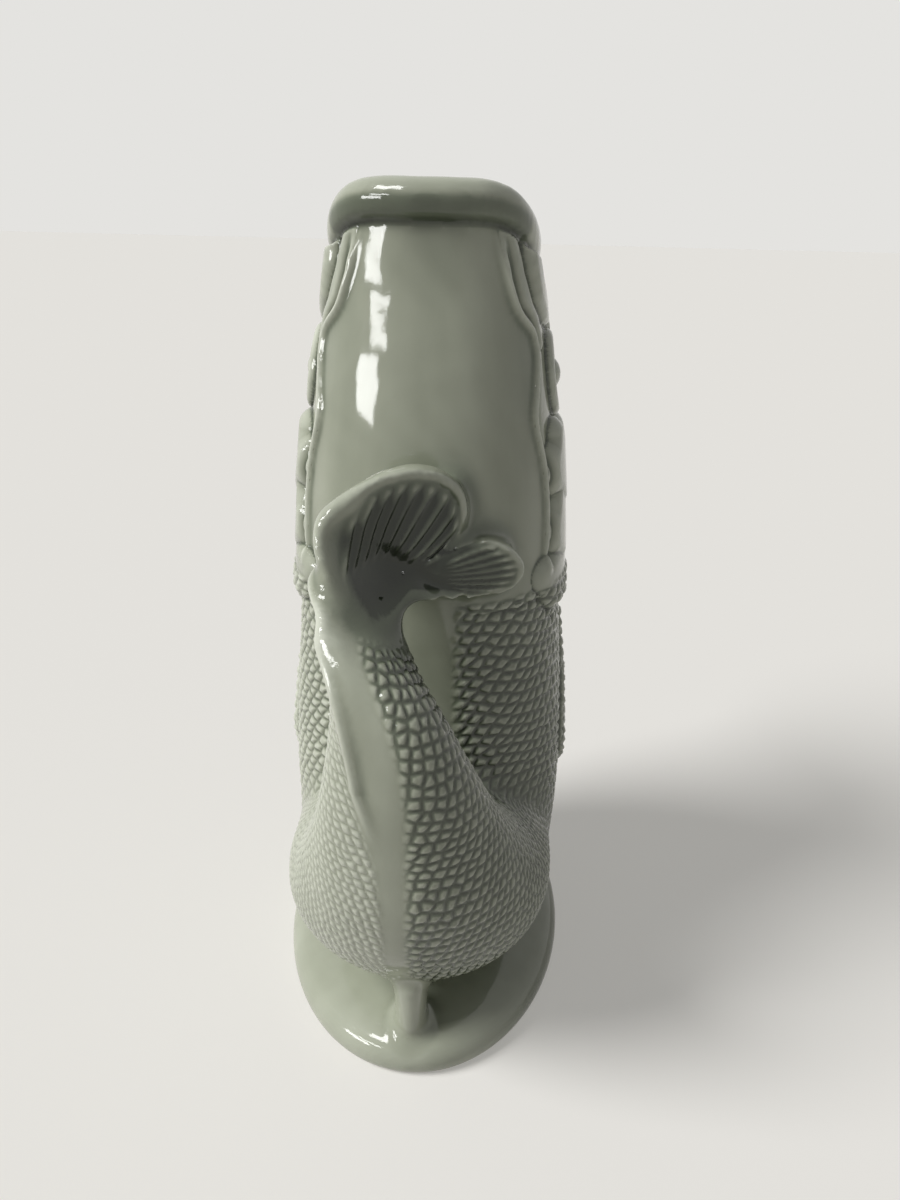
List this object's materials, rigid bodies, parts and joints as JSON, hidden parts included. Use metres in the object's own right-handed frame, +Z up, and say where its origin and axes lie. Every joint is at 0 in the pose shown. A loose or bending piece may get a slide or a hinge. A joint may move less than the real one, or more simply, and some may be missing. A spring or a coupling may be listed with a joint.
{
  "type": "gurgle jug",
  "caption": "Glazed pitcher shaped as an upright fish: open mouth as pouring lip, hollow tail curled up behind as the handle, on an oval foot.",
  "frame": {"origin": "middle of the oval foot's underside, on the plane that the jug stands on", "axes": "+Z up along the standing fish, +Y towards the pouring lip, +X to the fish's right-hand flank as seen from behind, where the tail's open side faces"},
  "size_m": [0.094, 0.1621, 0.245],
  "materials": {
    "celadon_glaze": "one glossy grey-green celadon glaze over moulded relief, darker where it pools in the grooves and paler where it thins on the ridges",
    "bare_clay": "unglazed cream earthenware, on the ring under the foot"
  },
  "bodies": {
    "root": {"foot": "celadon_glaze", "tail_prop": "celadon_glaze", "belly": "celadon_glaze", "body": "celadon_glaze", "head": "celadon_glaze", "mouth_lip": "celadon_glaze", "tail_handle": "celadon_glaze", "tail_fan": "celadon_glaze", "eye_left": "celadon_glaze", "eye_right": "celadon_glaze", "gill_cover_left": "celadon_glaze", "gill_cover_right": "celadon_glaze", "upper_jaw_left": "celadon_glaze", "upper_jaw_right": "celadon_glaze", "pectoral_fin_left": "celadon_glaze", "pectoral_fin_right": "celadon_glaze"}
  },
  "joints": []
}
